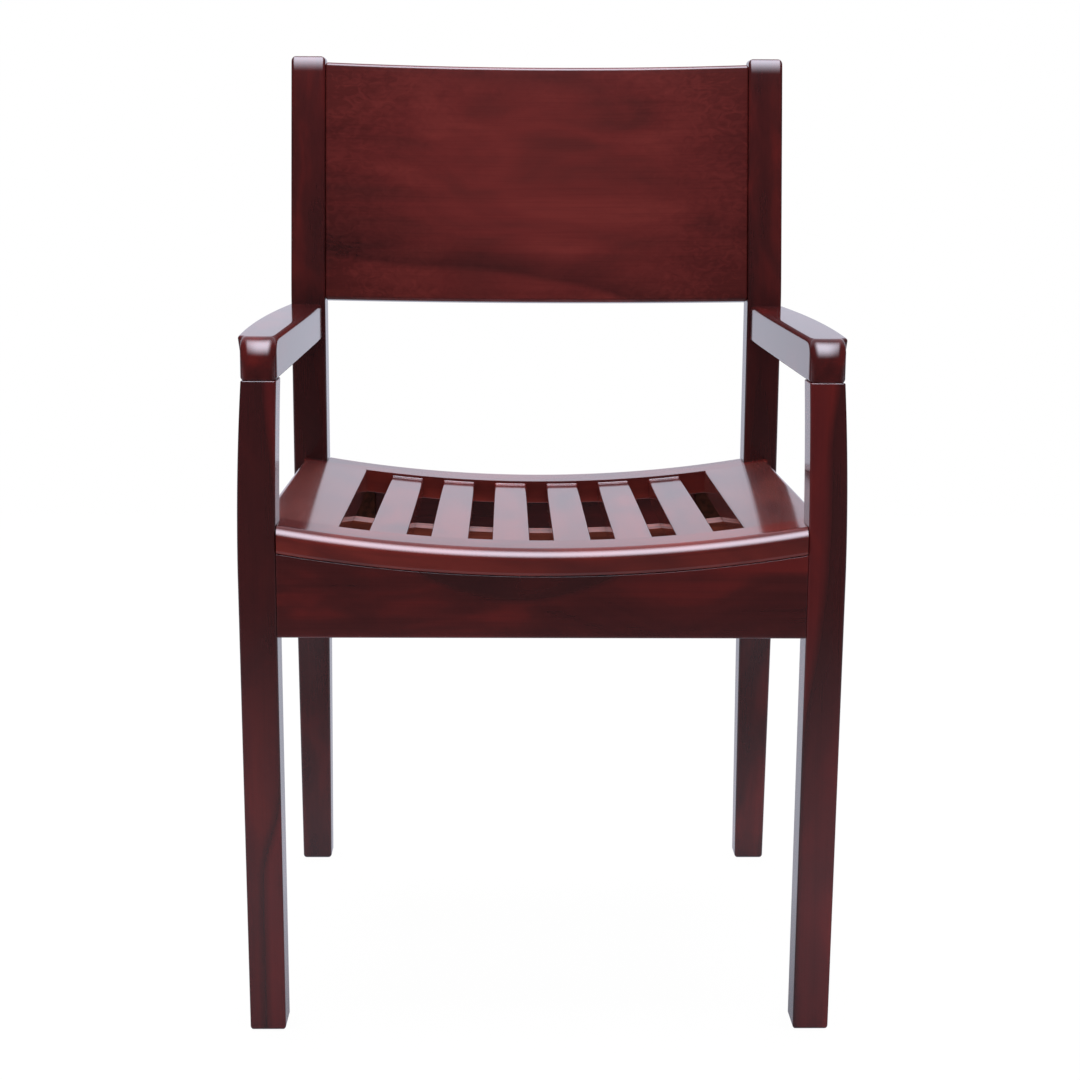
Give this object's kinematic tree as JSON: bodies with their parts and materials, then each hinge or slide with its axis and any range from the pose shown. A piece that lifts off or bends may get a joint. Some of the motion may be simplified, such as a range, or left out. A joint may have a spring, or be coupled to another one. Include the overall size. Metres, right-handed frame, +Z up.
{
  "type": "slatted wooden armchair",
  "caption": "Glossy dark-stained hardwood armchair with a dished slatted seat, level arms on tapering legs and a wide curved back panel between raked rear posts.",
  "frame": {"origin": "on the floor, under the middle of the chair's width and depth", "axes": "+X to the right as seen from the front, +Y from the front to the back, +Z up"},
  "size_m": [0.5472, 0.5154, 0.9],
  "materials": {
    "lacquered_wood_frame": "dark red-brown stain under clear gloss lacquer",
    "lacquered_wood_panel": "red-brown stain under clear gloss lacquer, streaked grain along the width",
    "lacquered_wood_seat": "dark red-brown stain under clear gloss lacquer",
    "stained_wood_inner": "stained, thin satin coat",
    "zinc_screws": "zinc plated"
  },
  "bodies": {
    "root": {"front_leg_left": "lacquered_wood_frame", "front_leg_right": "lacquered_wood_frame", "back_post_left": "lacquered_wood_frame", "back_post_right": "lacquered_wood_frame", "arm_left": "lacquered_wood_frame", "arm_right": "lacquered_wood_frame", "side_apron_left": "lacquered_wood_frame", "side_apron_right": "lacquered_wood_frame", "front_apron": "lacquered_wood_frame", "rear_apron": "lacquered_wood_frame", "back_panel": "lacquered_wood_panel", "seat_front_board": "lacquered_wood_seat", "seat_rear_board": "lacquered_wood_seat", "seat_side_board_left": "lacquered_wood_seat", "seat_side_board_right": "lacquered_wood_seat", "seat_slat_1": "lacquered_wood_seat", "seat_slat_2": "lacquered_wood_seat", "seat_slat_3": "lacquered_wood_seat", "seat_slat_4": "lacquered_wood_seat", "seat_slat_5": "lacquered_wood_seat", "seat_slat_6": "lacquered_wood_seat", "slat_batten": "stained_wood_inner", "corner_block_front_left": "stained_wood_inner", "corner_block_front_right": "stained_wood_inner", "corner_block_rear_left": "stained_wood_inner", "corner_block_rear_right": "stained_wood_inner", "seat_screws": "zinc_screws"}
  },
  "joints": []
}
